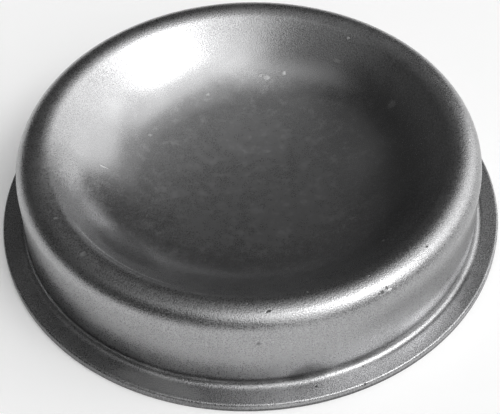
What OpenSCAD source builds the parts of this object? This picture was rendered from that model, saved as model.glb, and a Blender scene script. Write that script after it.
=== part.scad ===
// Hub grease cap: a round cup drawn from one disc of sheet steel, with a flat flange round its mouth,
// a straight wall and a round crown that turns down into a deep dish. The mouth is at the bottom, open.
// The origin is on the axis, in the plane of the flange's underside, and +Z points at the crown.
// All sizes are in millimetres.

/* [Sheet] */
// Thickness of the sheet that the cap is drawn from
sheet_t = 1; // [0.8:0.05:1.2]

/* [Flange] */
// Width of the flange, from the wall to its cut edge
flange_w = 2.9; // [2.2:0.1:10]
// Radius of the rolled-over upper edge, where the flange was cut out of the sheet
rollover_r = 0.3; // [0.1:0.05:0.6]
// Outside radius of the bend between the flange and the wall
foot_r = 0.9; // [0.5:0.05:1.5]

/* [Wall] */
// Outer diameter of the straight wall, which a hub's bore takes
wall_d = 56.2; // [50:0.1:64]
// Height of the whole cap, from the flange's underside to the top of the crown
cap_h = 12; // [11:0.1:18]

/* [Crown] */
// Outside radius of the crown, which turns from the wall into the side of the dish
crown_r = 2.6; // [2.2:0.1:3.2]

/* [Dish] */
// Depth of the dish, from the top of the crown to the middle of its floor
dish_depth = 8.3; // [7:0.1:9]
// Slope of the dish's straight side, in degrees from level
side_slope = 41; // [38:1:46]
// Radius of the bend between the side and the floor of the dish
bowl_r = 16; // [10:0.5:18]
// Radius of the floor of the dish, which is nearly flat
floor_r = 65; // [55:1:120]

/* [Smoothness] */
// Largest step along a bend of the section, in degrees
bend_step = 4; // [2:1:6]
// Number of straight steps round the cap in a drawn preview
round_steps = 180; // [72:12:360]

/* [Hidden] */

steel = [0.55, 0.56, 0.57];

// A point of the section as a step from another one, given by its direction and its length
function step(angle, length) = length * [cos(angle), sin(angle)];

// Points along a bend of the section, from one direction to another as seen from its centre
function bend(centre, radius, from, to) =
    let (count = max(6, ceil(abs(to - from) / bend_step)))
    [for (i = [0:count]) centre + step(from + (to - from) * i / count, radius)];

// Radius of the disc that the flange's cut edge lies on
flange_r = wall_d / 2 + flange_w;

// Centres of the two bends that end the straight wall
foot_c = [wall_d / 2 + foot_r, sheet_t + foot_r];
crown_c = [wall_d / 2 - crown_r, cap_h - crown_r];

// The floor is an arc about a point on the axis. The bend round it touches the floor's arc, so its
// centre is this far from the floor's. It also touches the straight side, which touches the crown, so
// its centre slides along a line with the side's slope as the side grows from nothing.
floor_c = [0, cap_h - dish_depth + floor_r];
centre_gap = floor_r - bowl_r;
slide_start = crown_c + step(90 + side_slope, crown_r + bowl_r);
slide_way = step(180 + side_slope, 1);
to_floor = floor_c - slide_start;
side_l = to_floor * slide_way
    + sqrt(pow(to_floor * slide_way, 2) - to_floor * to_floor + pow(centre_gap, 2));
bowl_c = slide_start + side_l * slide_way;
floor_turn = asin(bowl_c[0] / centre_gap);

// One face of the sheet, from the flange to the axis. The outer face has no inset, and the inner one
// has the sheet's thickness, which widens the bends that curl up and tightens the crown.
function face(inset) = concat(
    bend(foot_c, foot_r + inset, 270, 180),
    bend(crown_c, crown_r - inset, 0, 90 + side_slope),
    bend(bowl_c, bowl_r + inset, 270 + side_slope, 270 + floor_turn),
    bend(floor_c, floor_r + inset, 270 + floor_turn, 270)
);

// The cut edge of the flange, from its underside up to the rolled-over corner
function cut_edge() = concat(
    [[flange_r, 0]],
    bend([flange_r - rollover_r, sheet_t - rollover_r], rollover_r, 0, 90)
);

function backwards(points) = [for (i = [len(points) - 1:-1:0]) points[i]];

// The sheet's section, turned once round the axis
module grease_cap() {
    color(steel)
    rotate_extrude($fn = round_steps)
    polygon(concat(cut_edge(), face(0), backwards(face(sheet_t))));
}

grease_cap();
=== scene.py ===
"""Hub grease cap: a round cup drawn from one disc of sheet steel, with a flat flange and a dished crown.

The file is laid out as an add-on and run as a script. It loads the solid model's frame, makes the cap's
visible mesh and its steel, sets the stage, and hands the scene back.
"""
from math import asin, cos, hypot, pi, radians, sin, sqrt, tan

import bmesh
import bpy
from bpy.props import FloatProperty, FloatVectorProperty, IntProperty, PointerProperty
from mathutils import Matrix, Vector


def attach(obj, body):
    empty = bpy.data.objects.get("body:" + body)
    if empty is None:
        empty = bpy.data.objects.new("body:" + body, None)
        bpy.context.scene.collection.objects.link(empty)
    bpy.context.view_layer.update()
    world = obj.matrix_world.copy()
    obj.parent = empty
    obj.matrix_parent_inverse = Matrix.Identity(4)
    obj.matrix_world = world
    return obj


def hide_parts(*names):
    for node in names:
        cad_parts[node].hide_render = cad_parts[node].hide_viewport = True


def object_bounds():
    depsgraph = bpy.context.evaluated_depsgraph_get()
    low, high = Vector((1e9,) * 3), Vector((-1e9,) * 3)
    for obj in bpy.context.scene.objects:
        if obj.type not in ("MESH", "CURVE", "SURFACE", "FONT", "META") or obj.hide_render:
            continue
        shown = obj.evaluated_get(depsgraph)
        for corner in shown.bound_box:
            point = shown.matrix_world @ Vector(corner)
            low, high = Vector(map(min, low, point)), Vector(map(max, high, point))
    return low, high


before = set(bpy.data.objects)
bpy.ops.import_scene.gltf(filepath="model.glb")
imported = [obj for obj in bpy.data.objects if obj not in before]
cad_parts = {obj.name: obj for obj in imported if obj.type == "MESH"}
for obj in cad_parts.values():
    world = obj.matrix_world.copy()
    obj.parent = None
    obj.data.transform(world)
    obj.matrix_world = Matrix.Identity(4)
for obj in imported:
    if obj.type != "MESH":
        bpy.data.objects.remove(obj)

SOLID_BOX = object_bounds()

bl_info = {
    "name": "Hub grease cap",
    "version": (1, 0, 0),
    "blender": (4, 5, 0),
    "location": "View3D > Sidebar > Grease cap",
    "description": "Makes a pressed steel grease cap for a wheel hub",
    "category": "Add Mesh",
}


# Settings

class CapSizes(bpy.types.PropertyGroup):
    """Sizes of the cap, measured on the outer face of the sheet"""
    sheet: FloatProperty(
        name="Sheet", description="Thickness of the steel sheet",
        default=0.001, min=0.0005, unit='LENGTH', precision=5)
    flange_width: FloatProperty(
        name="Flange width", description="From the wall to the flange's cut edge",
        default=0.0029, min=0.002, unit='LENGTH', precision=5)
    rollover: FloatProperty(
        name="Rollover", description="Radius of the cut edge's upper corner, rolled over by the punch",
        default=0.0003, min=0.00005, unit='LENGTH', precision=5)
    burr: FloatProperty(
        name="Burr", description="Width of the broken lower corner of the cut edge",
        default=0.00002, min=0.00001, unit='LENGTH', precision=5)
    foot_radius: FloatProperty(
        name="Foot radius", description="Radius of the bend between the flange and the wall",
        default=0.0009, min=0.0002, unit='LENGTH', precision=5)
    wall_radius: FloatProperty(
        name="Wall radius", description="Radius of the straight wall",
        default=0.0281, min=0.01, unit='LENGTH', precision=5)
    height: FloatProperty(
        name="Height", description="From the flange's underside to the top of the crown",
        default=0.012, min=0.005, unit='LENGTH', precision=5)
    crown_radius: FloatProperty(
        name="Crown radius", description="Radius of the bend between the wall and the side of the dish",
        default=0.0026, min=0.0015, unit='LENGTH', precision=5)
    dish_depth: FloatProperty(
        name="Dish depth", description="From the top of the crown to the middle of the dish",
        default=0.0083, min=0.001, unit='LENGTH', precision=5)
    side_slope: FloatProperty(
        name="Side slope", description="Slope of the straight side of the dish from level",
        default=radians(41), unit='ROTATION')
    bowl_radius: FloatProperty(
        name="Bowl radius", description="Radius of the bend between the side and the floor of the dish",
        default=0.016, min=0.005, unit='LENGTH', precision=5)
    floor_radius: FloatProperty(
        name="Floor radius", description="Radius of the nearly flat floor of the dish",
        default=0.065, min=0.03, unit='LENGTH', precision=5)
    round_steps: IntProperty(
        name="Round steps", description="Steps of the mesh round the cap",
        default=320, min=48, max=400)


class SteelLook(bpy.types.PropertyGroup):
    """Finish of the bare steel, with the painted shade and painted highlights in its colour"""
    colour: FloatVectorProperty(
        name="Colour", description="Colour that the clean steel reflects",
        subtype='COLOR', size=3, min=0, max=1, default=(0.38, 0.38, 0.385))
    roughness: FloatProperty(
        name="Roughness", description="Roughness of the steel where it was hardly stretched",
        default=0.25, min=0, max=1)
    stretch_dulling: FloatProperty(
        name="Stretch dulling", description="Roughness that stretching adds over the crown and the wall",
        default=0.04, min=0, max=1)
    floor_dulling: FloatProperty(
        name="Floor dulling", description="Roughness that handling adds to the floor of the dish",
        default=0.06, min=0, max=1)
    grain: FloatProperty(
        name="Grain", description="Distance between the grains of the sheet's surface",
        default=0.00014, min=0.00001, unit='LENGTH', precision=5)
    grain_depth: FloatProperty(
        name="Grain depth", description="Height of the grain where the sheet was stretched most",
        default=0.00003, min=0.000001, unit='LENGTH', precision=6)
    still_grain: FloatProperty(
        name="Still grain", description="Part of the grain that shows where the sheet hardly stretched",
        default=0.2, min=0, max=1)
    # Painted shade along the foot: darker above its bend except at the right, and below it at the right,
    # which also narrows the bend's highlight
    groove_shade: FloatProperty(
        name="Groove dirt", description="How far dirt darkens the steel on both sides of the foot's bend",
        default=0.6, min=0, max=1)
    # Painted shade: the upper part of the wall is darker on the right
    wall_shade: FloatProperty(
        name="Wiped patch", description="How much darker the upper part of the wall is on one side",
        default=0.35, min=0, max=1)
    # Painted reflection: the wall is paler low down at the front right, where it mirrors the bright foot
    # and flange
    wall_sheen: FloatProperty(
        name="Rubbed patch", description="How much paler the wall is low down, where it was rubbed",
        default=1.2, min=0, max=2)
    worn_line: FloatProperty(
        name="Worn line", description="How much paler the worn line is, where the crown meets the dish",
        default=0.9, min=0, max=2)
    flange_darkening: FloatProperty(
        name="Flange dulling", description="How far the flange is darker than the rest of the sheet",
        default=0.1, min=0, max=1)
    # Edge darkening darkens the torn lower part of the cut edge all round and sets how deep the painted
    # shade over the rest of the edge at the left is
    edge_darkening: FloatProperty(
        name="Edge dulling", description="How far the torn lower part of the cut edge is darker",
        default=0.6, min=0, max=1)
    wall_polish: FloatProperty(
        name="Wall polish", description="How far the drawing tool rubbed the grain down on the wall",
        default=0.45, min=0, max=1)
    pit_depth: FloatProperty(
        name="Pit depth", description="Depth of the small pits",
        default=0.00004, unit='LENGTH', precision=6)
    cloud_gloss: FloatProperty(
        name="Cloud gloss", description="How far cloudy patches change the roughness", default=0.12)
    mottle_gloss: FloatProperty(
        name="Mottle gloss", description="How far the close mottle changes the roughness", default=0.12)
    grain_gloss: FloatProperty(
        name="Grain gloss", description="How far the grain changes the roughness", default=0.07)
    grain_tone: FloatProperty(
        name="Grain tone", description="How far the grain changes the colour", default=0.4)
    cloud_tone: FloatProperty(
        name="Cloud tone", description="How far cloudy patches change the colour", default=0.35)
    mottle_tone: FloatProperty(
        name="Mottle tone", description="How much paler the close flecks in the dish are", default=0.22)


class StageSettings(bpy.types.PropertyGroup):
    """Floor, lamps and camera"""
    floor_colour: FloatVectorProperty(
        name="Floor colour", description="Colour of the pale floor",
        subtype='COLOR', size=3, min=0, max=1, default=(0.8, 0.8, 0.8))
    floor_lift: FloatProperty(
        name="Floor lift", description="Extra brightness of the floor, as seen directly and in the metal",
        default=0.2, min=0)
    room: FloatProperty(
        name="Room", description="Brightness of the room round the stage", default=0.075, min=0)
    camera_distance: FloatProperty(
        name="Camera distance", description="From the middle of the flange to the camera",
        default=0.16477, unit='LENGTH', precision=5)
    camera_elevation: FloatProperty(
        name="Camera elevation", description="Angle at which the camera looks down",
        default=radians(46.7055), unit='ROTATION')
    camera_roll: FloatProperty(
        name="Camera roll", description="Turn of the camera about its line of sight",
        default=radians(-1.8535), unit='ROTATION')
    lens: FloatProperty(
        name="Lens", description="Focal length of the lens in millimetres", default=93.6, min=10)


# Section of the sheet

# Distance between the points along each stretch of the section
FLANGE_CHORD = 0.0004
BEND_CHORD = 0.00014
WALL_CHORD = 0.001
SIDE_CHORD = 0.0008
BOWL_CHORD = 0.0005
FLOOR_CHORD = 0.001


def step(angle, length):
    """A step in the section's plane, outwards at an angle of zero and up at a quarter turn"""
    return Vector((cos(angle) * length, sin(angle) * length))


def bend(centre, radius, start, end, chord):
    """Points along a bend, without its first one, at about the given distance"""
    count = max(3, round(abs(end - start) * radius / chord))
    return [centre + step(start + (end - start) * i / count, radius) for i in range(1, count + 1)]


def straight(start, end, chord):
    """Points along a straight stretch, without its first one"""
    count = max(1, round((end - start).length / chord))
    return [start.lerp(end, i / count) for i in range(1, count + 1)]


def outer_face(size):
    """The outer face of the sheet, from the corner of the cut edge to the middle of the dish"""
    quarter = pi / 2
    flange_radius = size.wall_radius + size.flange_width
    foot = Vector((size.wall_radius + size.foot_radius, size.sheet + size.foot_radius))
    crown = Vector((size.wall_radius - size.crown_radius, size.height - size.crown_radius))
    floor = Vector((0, size.height - size.dish_depth + size.floor_radius))

    # The bend round the floor touches the floor's arc and the straight side, which touches the crown
    gap = size.floor_radius - size.bowl_radius
    start = crown + step(quarter + size.side_slope, size.crown_radius + size.bowl_radius)
    way = step(pi + size.side_slope, 1)
    reach = (floor - start).dot(way)
    side = reach + sqrt(reach ** 2 - (floor - start).length_squared + gap ** 2)
    bowl = start + way * side
    turn = asin(bowl.x / gap)

    points = [Vector((flange_radius, size.sheet))]
    points += straight(points[-1], Vector((foot.x, size.sheet)), FLANGE_CHORD)
    points += bend(foot, size.foot_radius, 3 * quarter, 2 * quarter, BEND_CHORD)
    points += straight(points[-1], Vector((size.wall_radius, crown.y)), WALL_CHORD)
    points += bend(crown, size.crown_radius, 0, quarter + size.side_slope, BEND_CHORD)
    points += straight(points[-1], points[-1] + way * side, SIDE_CHORD)
    points += bend(bowl, size.bowl_radius, 3 * quarter + size.side_slope, 3 * quarter + turn, BOWL_CHORD)
    points += bend(floor, size.floor_radius, 3 * quarter + turn, 3 * quarter, FLOOR_CHORD)
    points[-1].x = 0
    return points


# Mesh

# Points nearer than this are one, and a point this near to a place is on it
MERGE_DISTANCE = 0.000002
TOLERANCE = 0.00001
# Steps across the two bevelled corners of the cut edge
ROLLOVER_STEPS = 6
BURR_STEPS = 1
# Corners sharper than this stay sharp to the eye
SMOOTH_ANGLE = radians(30)


def start_clean():
    """Leave nothing selected, so that an operator acts on the new piece alone"""
    if bpy.context.object and bpy.context.object.mode != 'OBJECT':
        bpy.ops.object.mode_set(mode='OBJECT')
    bpy.ops.object.select_all(action='DESELECT')


def draw_section(name, points):
    """A line through the section's points, extruded one from the other in edit mode"""
    start_clean()
    first = points[0]
    bpy.ops.mesh.primitive_plane_add(size=0.001, location=(0, 0, 0))
    piece = bpy.context.object
    piece.name = name
    piece.data.name = name
    bpy.ops.object.mode_set(mode='EDIT')
    bpy.ops.mesh.select_all(action='SELECT')
    bpy.ops.mesh.merge(type='CENTER')
    bpy.ops.transform.translate(value=(first.x, 0, first.y))
    last = first
    for point in points[1:]:
        bpy.ops.mesh.extrude_vertices_move(
            TRANSFORM_OT_translate={"value": (point.x - last.x, 0, point.y - last.y)})
        last = point
    return piece


def spin_section(piece, steps):
    """Turn the section once round the axis, into a face that looks outwards"""
    bpy.ops.mesh.select_all(action='SELECT')
    bpy.ops.mesh.spin(steps=steps, angle=2 * pi, center=(0, 0, 0), axis=(0, 0, 1), use_auto_merge=True)
    bpy.ops.mesh.select_all(action='SELECT')
    bpy.ops.mesh.remove_doubles(threshold=MERGE_DISTANCE)
    bpy.ops.mesh.normals_make_consistent(inside=False)
    shape = bmesh.from_edit_mesh(piece.data)
    middle = min(shape.faces, key=lambda face: hypot(*face.calc_center_median().xy))
    if middle.normal.z < 0:
        bpy.ops.mesh.flip_normals()
    bpy.ops.object.mode_set(mode='OBJECT')


def thicken(piece, sheet):
    """Give the face the thickness of the sheet, on its inside"""
    wall = piece.modifiers.new("Sheet", 'SOLIDIFY')
    wall.thickness = sheet
    wall.offset = -1
    wall.use_even_offset = True
    wall.use_rim = True
    bpy.ops.object.modifier_apply(modifier=wall.name)


def select_edges(piece, wanted):
    """Select in edit mode the edges whose two ends pass the test"""
    bpy.ops.mesh.select_all(action='DESELECT')
    bpy.ops.mesh.select_mode(type='EDGE')
    shape = bmesh.from_edit_mesh(piece.data)
    for edge in shape.edges:
        edge.select_set(all(wanted(vert.co) for vert in edge.verts))
    bmesh.update_edit_mesh(piece.data)


def dress_cut_edge(piece, size):
    """Roll the upper corner of the cut edge over and break the lower one"""
    bpy.ops.object.mode_set(mode='EDIT')
    rim = size.wall_radius + size.flange_width - TOLERANCE
    for height, width, steps in ((size.sheet, size.rollover, ROLLOVER_STEPS), (0, size.burr, BURR_STEPS)):
        select_edges(piece, lambda end: hypot(end.x, end.y) > rim and abs(end.z - height) < TOLERANCE)
        bpy.ops.mesh.bevel(offset=width, segments=steps, affect='EDGES')
    bpy.ops.mesh.select_mode(type='VERT')
    bpy.ops.object.mode_set(mode='OBJECT')


class GREASECAP_OT_cap(bpy.types.Operator):
    """Spin the outer face of the sheet, give it the sheet's thickness and dress its cut edge"""
    bl_idname = "greasecap.cap"
    bl_label = "Cap"

    def execute(self, context):
        size = context.scene.grease_cap_sizes
        piece = draw_section("cap_steel", outer_face(size))
        spin_section(piece, size.round_steps)
        thicken(piece, size.sheet)
        dress_cut_edge(piece, size)
        bpy.ops.object.shade_smooth_by_angle(angle=SMOOTH_ANGLE)

        piece.data.materials.clear()
        piece.data.materials.append(bare_steel(context.scene.grease_cap_look))
        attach(piece, "root")
        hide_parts("grease_cap")
        return {'FINISHED'}


# Nodes

# Distances between the nodes of a tree, as its editor shows them
COLUMN_WIDTH = 220
ROW_HEIGHT = 320


class Graph:
    """A node tree in the making, whose nodes are laid out in columns from left to right"""

    def __init__(self, tree):
        self.tree = tree
        self.filled = {}

    def put(self, kind, inputs=None, **settings):
        """A node with its settings, and with a number, a colour or a link for each named input"""
        node = self.tree.nodes.new(kind)
        for name, value in settings.items():
            setattr(node, name, value)
        column = 0
        for name, value in (inputs or {}).items():
            if isinstance(value, bpy.types.NodeSocket):
                self.tree.links.new(value, node.inputs[name])
                column = max(column, round(value.node.location.x / COLUMN_WIDTH) + 1)
            else:
                node.inputs[name].default_value = value
        row = self.filled.get(column, 0)
        self.filled[column] = row + 1
        node.location = (column * COLUMN_WIDTH, -row * ROW_HEIGHT)
        return node

    def group(self, tree, inputs):
        """What a node group gives"""
        return self.put('ShaderNodeGroup', inputs, node_tree=tree).outputs

    def math(self, operation, *values):
        """The result of one Math node"""
        return self.put('ShaderNodeMath', dict(enumerate(values)), operation=operation).outputs[0]

    def product(self, value, *others):
        """All the values multiplied together"""
        for other in others:
            value = self.math('MULTIPLY', value, other)
        return value

    def added(self, value, *parts):
        """The value with parts added to it, each an effect and how much of it is taken"""
        for effect, share in parts:
            value = self.math('MULTIPLY_ADD', effect, share, value)
        return value

    def changed(self, value, *changes):
        """The value changed by masks, each with the share of the value that it adds where it is full"""
        for mask, share in changes:
            value = self.math('MULTIPLY', value, self.math('MULTIPLY_ADD', mask, share, 1.0))
        return value

    def ramp(self, value, start, end, low=0.0, high=1.0):
        """A value that passes smoothly from low to high as another goes from start to end"""
        limits = {"Value": value, "From Min": start, "From Max": end, "To Min": low, "To Max": high}
        return self.put('ShaderNodeMapRange', limits, interpolation_type='SMOOTHSTEP').outputs[0]

    def band(self, value, middle, reach):
        """A value that is full at the middle of a band and falls to nothing at its borders"""
        away = self.math('ABSOLUTE', self.math('SUBTRACT', value, middle))
        return self.ramp(away, reach, 0.0)

    def noise(self, place, spacing, detail, roughness):
        """Soft noise with lumps about as far apart as the spacing"""
        scale = self.math('DIVIDE', 1.0, spacing)
        values = {"Vector": place, "Scale": scale, "Detail": detail, "Roughness": roughness}
        return self.put('ShaderNodeTexNoise', values).outputs["Fac"]

    def mix(self, mask, under, over):
        """A colour with another one over it where the mask is full"""
        colours = {"Factor": mask, "A": under, "B": over}
        return self.put('ShaderNodeMix', colours, data_type='RGBA').outputs["Result"]


def new_group(name, inputs, outputs):
    """The graph of an empty shader node group, and what its inputs give"""
    group = bpy.data.node_groups.new(name, 'ShaderNodeTree')
    for label, kind, value in inputs:
        socket = group.interface.new_socket(name=label, in_out='INPUT', socket_type=kind)
        if value is not None:
            socket.default_value = value
    for label in outputs:
        group.interface.new_socket(name=label, in_out='OUTPUT', socket_type='NodeSocketFloat')
    graph = Graph(group)
    return graph, graph.put('NodeGroupInput').outputs


def new_material(name):
    """An empty material"""
    material = bpy.data.materials.new(name)
    material.use_nodes = True
    material.node_tree.nodes.clear()
    return material


# Patterns of the steel

# What soft noise gives on average, and the range that it seldom leaves
NOISE_AVERAGE = 0.5
NOISE_RANGE = (0.32, 0.68)
# The coarse lumps of the grain: how many times as far apart as the fine ones, and their part in its tone
COARSE_SPACING = 4.0
COARSE_TONE = 0.4
# The distance between the flecks of the mottle, as a part of the distance between the clouds
MOTTLE_SPACING = 0.16
# Where a mark ends, in reaches from its middle, and how much the ragged noise adds to that distance
MARK_END = 1.6
RAGGED_WEIGHT = 1.2


def sheet_grain():
    """Fine grain of rolled sheet: its height, and a speckle that changes its gloss and its colour"""
    graph, given = new_group(
        "sheet_grain",
        (("Place", 'NodeSocketVector', None), ("Spacing", 'NodeSocketFloat', 0.0002)),
        ("Height", "Tone"))
    fine = graph.noise(given["Place"], given["Spacing"], detail=1.0, roughness=0.5)
    wide = graph.math('MULTIPLY', given["Spacing"], COARSE_SPACING)
    coarse = graph.noise(given["Place"], wide, detail=4.0, roughness=0.65)
    speckle = graph.ramp(fine, *NOISE_RANGE, low=-0.5, high=0.5)
    level = graph.math('SUBTRACT', speckle, COARSE_TONE * NOISE_AVERAGE)
    graph.put('NodeGroupOutput', {"Height": fine, "Tone": graph.added(level, (coarse, COARSE_TONE))})
    return graph.tree


def cloudiness():
    """Cloudy patches left by oil and handling, and a close mottle, both about zero on average"""
    graph, given = new_group(
        "cloudiness",
        (("Place", 'NodeSocketVector', None), ("Spacing", 'NodeSocketFloat', 0.008)),
        ("Cloud", "Mottle"))
    cloud = graph.noise(given["Place"], given["Spacing"], detail=6.0, roughness=0.62)
    close = graph.math('MULTIPLY', given["Spacing"], MOTTLE_SPACING)
    mottle = graph.noise(given["Place"], close, detail=3.0, roughness=0.6)
    graph.put('NodeGroupOutput', {
        "Cloud": graph.math('SUBTRACT', cloud, NOISE_AVERAGE),
        "Mottle": graph.math('SUBTRACT', mottle, NOISE_AVERAGE)})
    return graph.tree


def ragged_mark():
    """One mark or patch with a ragged edge, for the pits and scuffs and for the painted shade and painted
    highlights: full out to its core, given in reaches, and nothing past its end
    """
    graph, given = new_group(
        "ragged_mark",
        (("Place", 'NodeSocketVector', None), ("Ragged", 'NodeSocketFloat', 0.5),
         ("Middle", 'NodeSocketVector', None), ("Turn", 'NodeSocketVector', None),
         ("Reach", 'NodeSocketVector', (1, 1, 1)), ("Core", 'NodeSocketFloat', 1.0),
         ("Strength", 'NodeSocketFloat', 1.0)),
        ("Mask",))
    spot = graph.put('ShaderNodeMapping', {
        "Vector": given["Place"], "Location": given["Middle"], "Rotation": given["Turn"],
        "Scale": given["Reach"]}, vector_type='TEXTURE').outputs["Vector"]
    away = graph.put('ShaderNodeVectorMath', {0: spot}, operation='LENGTH').outputs["Value"]
    away = graph.added(away, (given["Ragged"], RAGGED_WEIGHT))
    mask = graph.ramp(away, MARK_END, given["Core"], low=0.0, high=given["Strength"])
    graph.put('NodeGroupOutput', {"Mask": mask})
    return graph.tree


# Steel

MILLIMETRE = 0.001

# Handling marks: where each lies in millimetres, how far it reaches along and across, its turn seen from
# above, and its strength
PITS = (
    ((1.6, -26.4, 11.8), 0.42, 0.16, 20, 1.0),
    ((14.0, -23.7, 11.0), 0.34, 0.2, 30, 0.9),
    ((14.5, -23.2, 11.1), 0.2, 0.3, 60, 0.8),
    ((13.6, -23.9, 11.0), 0.16, 0.16, 0, 0.9),
    ((19.4, -18.0, 11.8), 0.28, 0.14, 25, 0.9),
    ((12.7, -22.2, 12.0), 0.14, 0.12, 0, 0.8),
    ((16.4, -19.2, 12.0), 0.12, 0.12, 0, 0.6),
    ((6.7, -28.6, 1.0), 0.22, 0.18, 0, 1.0),
    ((12.2, -28.5, 0.9), 0.24, 0.2, 0, 0.9),
    ((12.1, -26.1, 1.0), 0.16, 0.12, 25, 0.8),
    ((19.5, -21.3, 1.0), 0.14, 0.1, 40, 0.6),
    ((0.4, -28.1, 8.4), 0.3, 0.1, 0, 0.6),
    ((7.7, -27.0, 5.8), 0.14, 0.12, 0, 0.5),
    ((-6.2, -22.0, 10.5), 0.18, 0.14, 0, 1.0),
    ((-0.6, -22.7, 10.4), 0.18, 0.12, 0, 1.0),
    ((-0.6, -25.5, 12.0), 0.14, 0.12, 0, 0.7),
)
SCUFFS = (
    ((-11.0, -27.6, 1.0), 7.0, 1.6, -22, 0.3),
    ((15.1, -14.1, 8.6), 0.2, 0.14, 30, 0.9),
    ((5.9, -24.0, 11.9), 0.18, 0.12, 0, 0.8),
    ((14.8, -23.3, 10.9), 0.4, 0.12, 30, 0.6),
    ((3.1, -9.0, 4.4), 0.5, 0.08, -40, 0.25),
    ((-10.6, -19.7, 10.1), 0.36, 0.06, 95, 0.5),
    ((-5.4, -13.3, 5.3), 0.3, 0.08, 90, 0.25),
    ((-22.1, -12.0, 12.0), 0.42, 0.26, 20, 0.35),
    ((-18.7, -17.6, 12.0), 0.5, 0.4, 40, 0.2),
    ((-12.5, -5.7, 5.2), 0.2, 0.2, 0, 0.15),
    ((-17.9, 1.3, 6.8), 0.9, 0.1, -10, 0.6),
    ((-12.5, 8.1, 5.5), 0.4, 0.25, 10, 0.25),
    ((-5.1, 15.1, 5.8), 0.3, 0.25, 0, 0.3),
    ((5.0, 17.6, 6.9), 0.34, 0.32, 0, 0.6),
    ((11.9, 17.3, 8.9), 0.8, 0.3, -30, 0.25),
    ((13.5, 19.3, 11.1), 0.28, 0.26, 0, 0.7),
    ((18.4, 9.1, 8.5), 0.8, 0.7, 0, 0.2),
    ((26.5, -1.2, 11.8), 0.16, 0.2, 0, 0.7),
    ((2.7, 17.3, 6.5), 0.55, 0.4, -15, 0.35),
    ((1.9, 17.6, 6.7), 0.35, 0.25, 20, 0.2),
)
# Broad soft darker patches, whose strength is how much of the steel's colour they take: a darker patch on
# the flange at the right, and painted shade along the left of the flange, at the front of the foot, where
# it dims the bend's highlight, and on the front left of the dish's side
DARK_PATCHES = (
    ((25.6, -15.4, 1.0), 2.2, 1.4, 60, 0.2),
    ((-29.2, 3.0, 1.0), 12.0, 1.6, 90, 0.25),
    ((5.3, -27.2, 0.9), 2.2, 0.6, 11, 0.5),
    ((-14.3, -13.3, 8.0), 3.6, 2.0, -47, 0.38),
)
# Broad soft paler patches, painted highlights on the side of the dish, whose strength is how much paler
# they make the steel
PAINTED_HIGHLIGHTS = (
    ((-17.8, -8.1, 8.0), 5.0, 1.4, -65, 0.6),
    ((-21.4, -3.2, 9.3), 3.0, 1.6, -81, 0.7),
    ((2.4, 17.1, 6.5), 5.0, 1.9, -8, 0.8),
)
# The noise that makes the marks ragged, how far scuffs stand up in grain depths, the roughness that a mark
# adds, and the colours of full marks
RAGGED_SCALE = 6000.0
SCUFF_LIFT = 0.8
MARK_DULLING = 0.3
SCUFF_COLOUR = (0.85, 0.85, 0.85, 1)
PIT_COLOUR = (0.1, 0.1, 0.1, 1)

# Places on the cap, in metres: radii from its axis, heights above the flange's underside, and X and Y.
# A band is given by its middle and its reach to either side. Any other pair says where an effect begins
# and where it is full.
STRETCHED_RADIUS = (0.018, 0.0255)
FLANGE_RADIUS = (0.0286, 0.0292)
POLISHED_HEIGHT_BAND = (0.005, 0.0045)
HANDLED_RADIUS = (0.016, 0.009)
FLECKED_RADIUS = (0.022, 0.012)
# Painted shade along the foot's bend, above it except at the right and below it at the right
SHADE_ABOVE_HEIGHT_BAND = (0.00165, 0.0007)
SHADE_ABOVE_X = (0.018, 0.010)
SHADE_BELOW_RADIUS_BAND = (0.02885, 0.0004)
SHADE_BELOW_X = (0.010, 0.018)
FOOT_SHADE_HEIGHT = (0.0031, 0.0029)
CUT_EDGE_RADIUS = (0.0309, 0.03095)
TORN_HEIGHT = (0.0005, 0.0003)
# Where the painted shade over the cut edge at the left begins and is full, up the edge and across the cap
EDGE_SHADE_HEIGHT = (0.001, 0.00088)
EDGE_SHADE_X = (0.003, -0.008)
# Painted shade on the upper part of the wall at the right
WALL_SHADE_HEIGHT_BAND = (0.0075, 0.0032)
WALL_SHADE_X = (0.009, 0.018)
# Painted reflection, low on the wall at the front right
WALL_SHEEN_HEIGHT_BAND = (0.003, 0.002)
WALL_SHEEN_X = (0.015, 0.0195)
WALL_SHEEN_Y = (-0.005, -0.011)
WORN_RADIUS_BAND = (0.0234, 0.0003)
WORN_X = (-0.006, -0.011)
WORN_Y = (-0.011, -0.014)

# The flange's extra part of the full grain, and the strength of the painted shade over the cut edge at the
# left
FLANGE_GRAIN = 0.3
EDGE_SHADE = 0.9
# The values of the mottle that flecks begin and are full at, and those of the clouds that the painted
# shade at the foot is thinnest and full at, with what is left of it where it is thinnest
FLECK_MOTTLE = (0.02, 0.22)
SHADE_CLOUD = (-0.12, 0.06)
THINNEST_SHADE = 0.3


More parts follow.
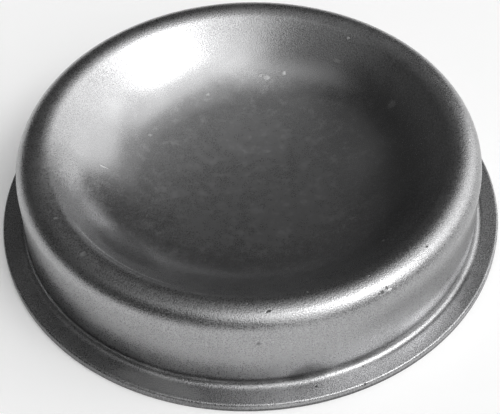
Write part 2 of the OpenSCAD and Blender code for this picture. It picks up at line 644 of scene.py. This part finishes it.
class Steel(Graph):
    """The nodes of the bare steel, with the places, patterns and marks that its effects share"""

    def __init__(self, tree, look):
        super().__init__(tree)
        self.look = look
        self.place = self.put('ShaderNodeTexCoord').outputs["Object"]
        axes = self.put('ShaderNodeSeparateXYZ', {"Vector": self.place}).outputs
        self.x, self.y, self.height = axes["X"], axes["Y"], axes["Z"]
        flat = self.put('ShaderNodeCombineXYZ', {"X": self.x, "Y": self.y}).outputs["Vector"]
        self.radius = self.put('ShaderNodeVectorMath', {0: flat}, operation='LENGTH').outputs["Value"]
        self.stretched = self.ramp(self.radius, *STRETCHED_RADIUS)
        self.flange = self.ramp(self.radius, *FLANGE_RADIUS)

        self.grain = self.group(sheet_grain(), {"Place": self.place, "Spacing": look.grain})
        self.clouds = self.group(cloudiness(), {"Place": self.place})
        mark = ragged_mark()
        values = {"Vector": self.place, "Scale": RAGGED_SCALE}
        ragged = self.put('ShaderNodeTexNoise', values).outputs["Fac"]
        self.pits = self.marks(mark, ragged, PITS)
        self.scuffs = self.marks(mark, ragged, SCUFFS)
        # Darker patches, most of them painted shade, and paler patches that are painted highlights
        self.dark_patches = self.marks(mark, self.clouds["Cloud"], DARK_PATCHES)
        self.painted_highlights = self.marks(mark, self.clouds["Cloud"], PAINTED_HIGHLIGHTS, core=0.0)

        # The sheet roughens where it was stretched most, over the crown and at the flange, and the
        # drawing tool rubs it down on the wall
        grain_share = self.added(
            look.still_grain, (self.stretched, 1 - look.still_grain), (self.flange, FLANGE_GRAIN))
        polished = self.band(self.height, *POLISHED_HEIGHT_BAND)
        self.grain_share = self.changed(grain_share, (polished, -look.wall_polish))

    def marks(self, mark, ragged, spots, core=1.0):
        """The mask of all the marks of one kind, each full out to the given share of its reach"""
        mask = 0.0
        for middle, along, across, turn, strength in spots:
            reach = Vector((along, across, max(along, across)))
            one = self.group(mark, {
                "Place": self.place, "Ragged": ragged, "Middle": Vector(middle) * MILLIMETRE,
                "Turn": (0, 0, radians(turn)), "Reach": reach * MILLIMETRE, "Core": core,
                "Strength": strength})
            mask = self.math('MAXIMUM', one["Mask"], mask)
        return mask

    def relief(self):
        """The normal of the steel, from its grain, its raised scuffs and its pits"""
        grain = self.product(self.grain["Height"], self.grain_share)
        depth = self.look.pit_depth / self.look.grain_depth
        height = self.added(grain, (self.scuffs, SCUFF_LIFT), (self.pits, -depth))
        values = {"Height": height, "Strength": 1.0, "Distance": self.look.grain_depth}
        return self.put('ShaderNodeBump', values).outputs["Normal"]

    def gloss(self):
        """The roughness of the steel, which grows where it was stretched, handled or marked"""
        look = self.look
        return self.added(
            look.roughness,
            (self.stretched, look.stretch_dulling),
            (self.ramp(self.radius, *HANDLED_RADIUS), look.floor_dulling),
            (self.clouds["Cloud"], look.cloud_gloss),
            (self.clouds["Mottle"], look.mottle_gloss),
            (self.grain["Tone"], look.grain_gloss),
            (self.math('MAXIMUM', self.pits, self.scuffs), MARK_DULLING))

    def foot_shade(self):
        """Patchy lines of painted shade above and below the bend at the foot, which also narrow the bend's
        highlight
        """
        above = self.product(
            self.band(self.height, *SHADE_ABOVE_HEIGHT_BAND), self.ramp(self.x, *SHADE_ABOVE_X))
        below = self.product(
            self.band(self.radius, *SHADE_BELOW_RADIUS_BAND), self.ramp(self.x, *SHADE_BELOW_X))
        return self.product(
            self.math('MAXIMUM', above, below), self.ramp(self.height, *FOOT_SHADE_HEIGHT),
            self.ramp(self.clouds["Cloud"], *SHADE_CLOUD, low=THINNEST_SHADE))

    def torn_and_shaded_edge(self):
        """The torn lower part of the cut edge, darker all round, and painted shade that covers the rest of
        the edge at the left
        """
        edge_shade = self.product(
            self.ramp(self.x, *EDGE_SHADE_X, high=EDGE_SHADE), self.ramp(self.height, *EDGE_SHADE_HEIGHT))
        torn = self.math('MAXIMUM', self.ramp(self.height, *TORN_HEIGHT), edge_shade)
        return self.product(self.ramp(self.radius, *CUT_EDGE_RADIUS), torn)

    def tone(self):
        """How much of its clean colour the steel shows: patterns add to it and patches multiply it, among
        them painted shade and painted highlights
        """
        look = self.look
        flecks = self.product(
            self.ramp(self.clouds["Mottle"], *FLECK_MOTTLE), self.ramp(self.radius, *FLECKED_RADIUS))
        tone = self.added(
            1.0,
            (flecks, look.mottle_tone),
            (self.clouds["Cloud"], look.cloud_tone),
            (self.product(self.grain["Tone"], self.grain_share), look.grain_tone))
        # Painted shade on the upper part of the wall at the right
        shaded_wall = self.product(self.band(self.height, *WALL_SHADE_HEIGHT_BAND), self.ramp(self.x, *WALL_SHADE_X))
        # Painted reflection that makes the wall paler low down at the front right
        rubbed = self.product(
            self.band(self.height, *WALL_SHEEN_HEIGHT_BAND),
            self.ramp(self.x, *WALL_SHEEN_X), self.ramp(self.y, *WALL_SHEEN_Y))
        worn = self.product(
            self.band(self.radius, *WORN_RADIUS_BAND),
            self.ramp(self.x, *WORN_X), self.ramp(self.y, *WORN_Y))
        # Painted shade at the foot, over the cut edge at the left, in the darker patches and on the upper
        # wall at the right; painted highlights in the paler patches and a painted reflection low on the
        # wall at the front right
        return self.changed(
            tone,
            (self.foot_shade(), -look.groove_shade),
            (self.torn_and_shaded_edge(), -look.edge_darkening),
            (self.dark_patches, -1.0),
            (self.painted_highlights, 1.0),
            (shaded_wall, -look.wall_shade),
            (rubbed, look.wall_sheen),
            (worn, look.worn_line),
            (self.flange, -look.flange_darkening))

    def colour(self):
        """The colour of the steel, with its pale scuffs and dark pits"""
        values = {0: tuple(self.look.colour), "Scale": self.tone()}
        clean = self.put('ShaderNodeVectorMath', values, operation='SCALE').outputs["Vector"]
        return self.mix(self.pits, self.mix(self.scuffs, clean, SCUFF_COLOUR), PIT_COLOUR)


def bare_steel(look):
    """Satin steel with a fine grain, cloudy patches, drawing marks, a punched edge and small knocks, and
    painted shade and painted highlights in its colour
    """
    material = new_material("satin_steel")
    steel = Steel(material.node_tree, look)
    shader = steel.put('ShaderNodeBsdfPrincipled', {
        "Metallic": 1.0, "Base Color": steel.colour(),
        "Roughness": steel.gloss(), "Normal": steel.relief()})
    steel.put('ShaderNodeOutputMaterial', {"Surface": shader.outputs["BSDF"]})
    return material


# Stage

# Soft lamps: compass direction and height as seen from the cap, width and height in degrees, radiance
LAMPS = (
    ("window_core", -28, 50, 26, 19, 5.5),
    ("window", -32, 50, 78, 60, 1.1),
    ("window_beside", 28, 25, 40, 40, 1.1),
    ("window_low", 38, 10, 26, 20, 0.5),
    ("window_glow", -20, 48, 116, 88, 0.4),
    ("front_low", -100, 9, 80, 14, 0.3),
    ("ceiling", -30, 86, 50, 50, 0.15),
    ("back_high", 95, 58, 60, 34, 0.05),
    ("high_left", -116, 66, 64, 22, 0.28),
)
LAMP_DISTANCE = 1.6
# How far the floor lies under the cap, so that the two never touch
FLOOR_GAP = 0.00001


def soft_lamp(name, azimuth, elevation, width, height, radiance):
    """A soft rectangular lamp that faces the cap; its radiance is what a mirror on the stage would show"""
    data = bpy.data.lights.new(name, 'AREA')
    data.shape = 'RECTANGLE'
    data.size = 2 * LAMP_DISTANCE * tan(radians(width) / 2)
    data.size_y = 2 * LAMP_DISTANCE * tan(radians(height) / 2)
    data.energy = radiance * pi * data.size * data.size_y
    lamp = bpy.data.objects.new(name, data)
    bpy.context.scene.collection.objects.link(lamp)
    way = Vector((cos(radians(azimuth)) * cos(radians(elevation)),
                  sin(radians(azimuth)) * cos(radians(elevation)), sin(radians(elevation))))
    lamp.location = way * LAMP_DISTANCE
    lamp.rotation_euler = way.to_track_quat('Z', 'Y').to_euler()
    lamp.visible_camera = False


def floor_material(stage):
    """Pale matt floor that keeps the shadow and shows a little brighter to the camera and in the metal"""
    material = new_material("floor")
    graph = Graph(material.node_tree)
    rays = graph.put('ShaderNodeLightPath').outputs
    seen = graph.math('MAXIMUM', rays["Is Camera Ray"], rays["Is Glossy Ray"])
    seen = graph.math('MAXIMUM', seen, rays["Is Transmission Ray"])
    shader = graph.put('ShaderNodeBsdfPrincipled', {
        "Base Color": (*stage.floor_colour, 1), "Roughness": 0.9, "Specular IOR Level": 0.0,
        "Emission Color": (1, 1, 1, 1), "Emission Strength": graph.product(seen, stage.floor_lift)})
    graph.put('ShaderNodeOutputMaterial', {"Surface": shader.outputs["BSDF"]})
    return material


def lay_floor(stage):
    """A wide round floor under the cap"""
    start_clean()
    bpy.ops.mesh.primitive_circle_add(
        vertices=96, radius=12, fill_type='NGON', location=(0, 0, SOLID_BOX[0][2] - FLOOR_GAP))
    floor = bpy.context.object
    floor.name = "floor"
    floor.data.materials.append(floor_material(stage))


def light_room(scene, brightness):
    """The same dim light from all sides"""
    world = scene.world or bpy.data.worlds.new("room")
    scene.world = world
    world.use_nodes = True
    backdrop = world.node_tree.nodes["Background"]
    backdrop.inputs["Color"].default_value = (1, 1, 1, 1)
    backdrop.inputs["Strength"].default_value = brightness


def place_camera(scene, stage):
    """The camera in front of the cap, which looks down at the middle of its flange"""
    lens = bpy.data.cameras.new("camera")
    lens.lens = stage.lens
    lens.sensor_width = 36
    lens.sensor_fit = 'HORIZONTAL'
    lens.clip_start = 0.005
    lens.clip_end = 50
    camera = bpy.data.objects.new("camera", lens)
    scene.collection.objects.link(camera)
    tilt = stage.camera_elevation
    camera.matrix_world = (
        Matrix.Translation((0, -cos(tilt) * stage.camera_distance, sin(tilt) * stage.camera_distance))
        @ Matrix.Rotation(pi / 2 - tilt, 4, 'X') @ Matrix.Rotation(stage.camera_roll, 4, 'Z'))
    scene.camera = camera


class GREASECAP_OT_stage(bpy.types.Operator):
    """Lay the pale floor, set the soft lamps and place the camera"""
    bl_idname = "greasecap.stage"
    bl_label = "Stage"

    def execute(self, context):
        scene = context.scene
        stage = scene.grease_cap_stage
        lay_floor(stage)
        light_room(scene, stage.room)
        for lamp in LAMPS:
            soft_lamp(*lamp)
        place_camera(scene, stage)
        scene.view_settings.view_transform = 'Standard'
        return {'FINISHED'}


# Panel

class GREASECAP_PT_panel(bpy.types.Panel):
    """Sizes, finish and stage of the cap"""
    bl_idname = "GREASECAP_PT_panel"
    bl_label = "Grease cap"
    bl_space_type = 'VIEW_3D'
    bl_region_type = 'UI'
    bl_category = "Grease cap"

    def draw(self, context):
        scene = context.scene
        for title, group, operator in (
                ("Sizes", scene.grease_cap_sizes, GREASECAP_OT_cap.bl_idname),
                ("Steel", scene.grease_cap_look, None),
                ("Stage", scene.grease_cap_stage, GREASECAP_OT_stage.bl_idname)):
            box = self.layout.box()
            box.label(text=title)
            for name in group.__annotations__:
                box.prop(group, name)
            if operator:
                box.operator(operator)


CLASSES = (CapSizes, SteelLook, StageSettings, GREASECAP_OT_cap, GREASECAP_OT_stage, GREASECAP_PT_panel)


def register():
    """Add the classes and the scene's settings to Blender"""
    for each in CLASSES:
        bpy.utils.register_class(each)
    bpy.types.Scene.grease_cap_sizes = PointerProperty(type=CapSizes)
    bpy.types.Scene.grease_cap_look = PointerProperty(type=SteelLook)
    bpy.types.Scene.grease_cap_stage = PointerProperty(type=StageSettings)


def unregister():
    """Take the settings and the classes out of Blender again"""
    del bpy.types.Scene.grease_cap_stage
    del bpy.types.Scene.grease_cap_look
    del bpy.types.Scene.grease_cap_sizes
    for each in reversed(CLASSES):
        bpy.utils.unregister_class(each)


def main():
    """Make the cap and its stage"""
    register()
    bpy.ops.greasecap.cap()
    bpy.ops.greasecap.stage()


if __name__ == "__main__":
    main()
